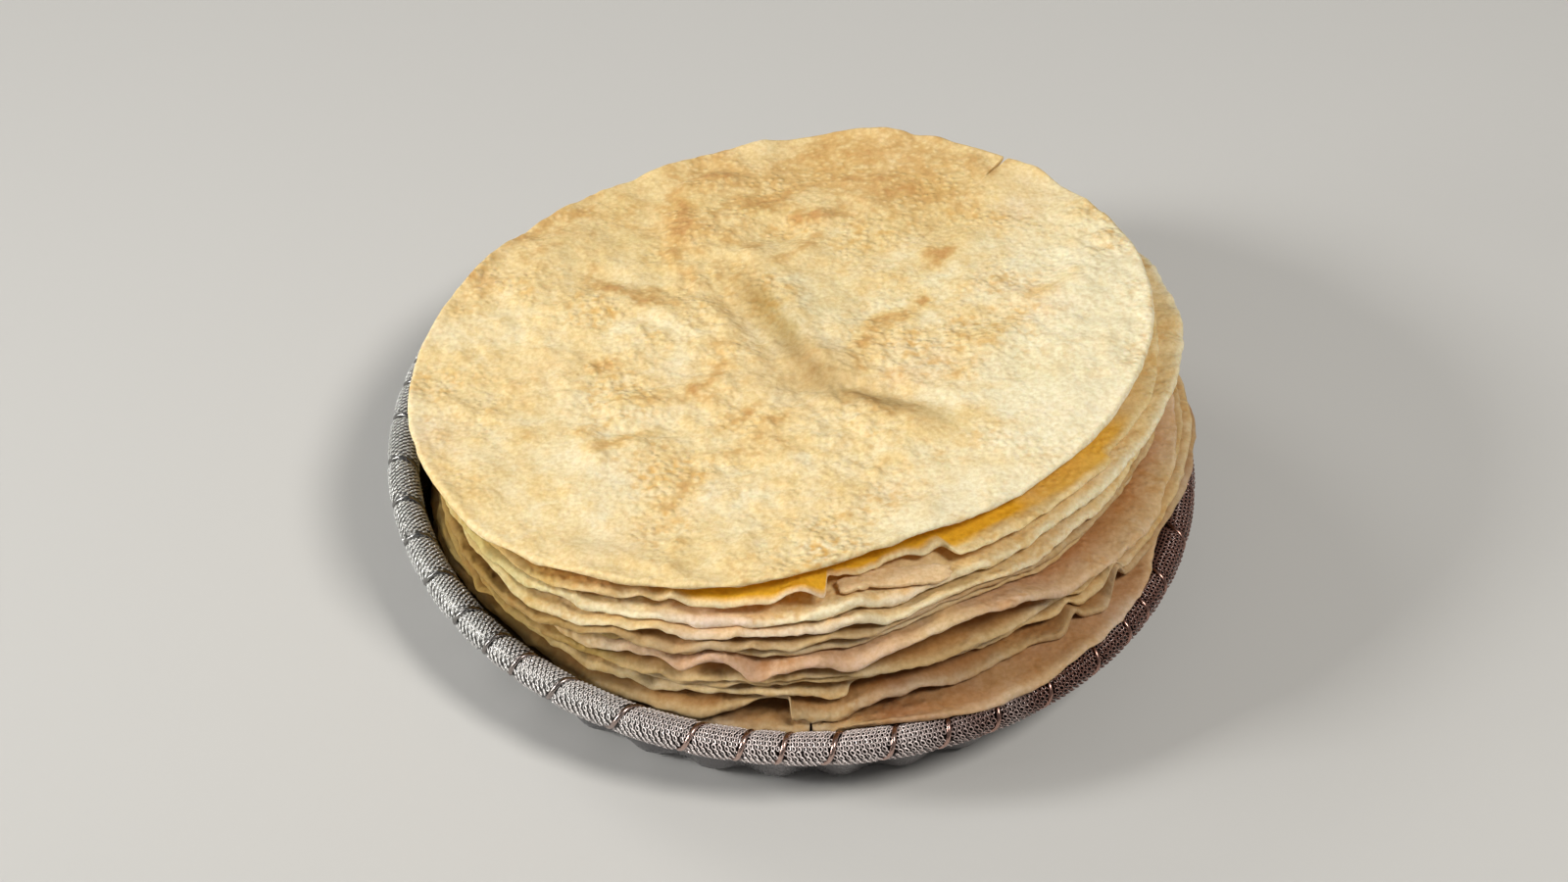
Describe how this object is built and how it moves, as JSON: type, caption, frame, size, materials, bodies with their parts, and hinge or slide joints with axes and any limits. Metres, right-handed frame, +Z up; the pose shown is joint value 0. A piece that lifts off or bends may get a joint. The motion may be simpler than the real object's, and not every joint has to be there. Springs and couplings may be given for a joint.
{
  "type": "stack of papadums on a tray",
  "caption": "Leaning stack of thin crisp wavy papadums in a round fluted metal tray whose rim is a knitted wire rope.",
  "frame": {"origin": "on the table under the centre of the tray", "axes": "+Z up through the stack, +X to the right and +Y to the back as seen from the front"},
  "size_m": [0.222, 0.2219, 0.0722],
  "materials": {
    "papadum": "matte, crisp baked dough with toasted patches",
    "fluted_metal": "polished, softly fluted",
    "knitted_wire": "fine knitted wire loops",
    "binding_wire": "bright drawn wire"
  },
  "bodies": {
    "root": {"tray_bowl": "fluted_metal", "rim_rope": "knitted_wire", "rim_wire": "binding_wire", "papadum_01": "papadum", "papadum_02": "papadum", "papadum_03": "papadum", "papadum_04": "papadum", "papadum_05": "papadum", "papadum_06": "papadum", "papadum_07": "papadum", "papadum_08": "papadum", "papadum_09": "papadum", "papadum_10": "papadum", "papadum_11": "papadum", "papadum_12": "papadum"}
  },
  "joints": []
}
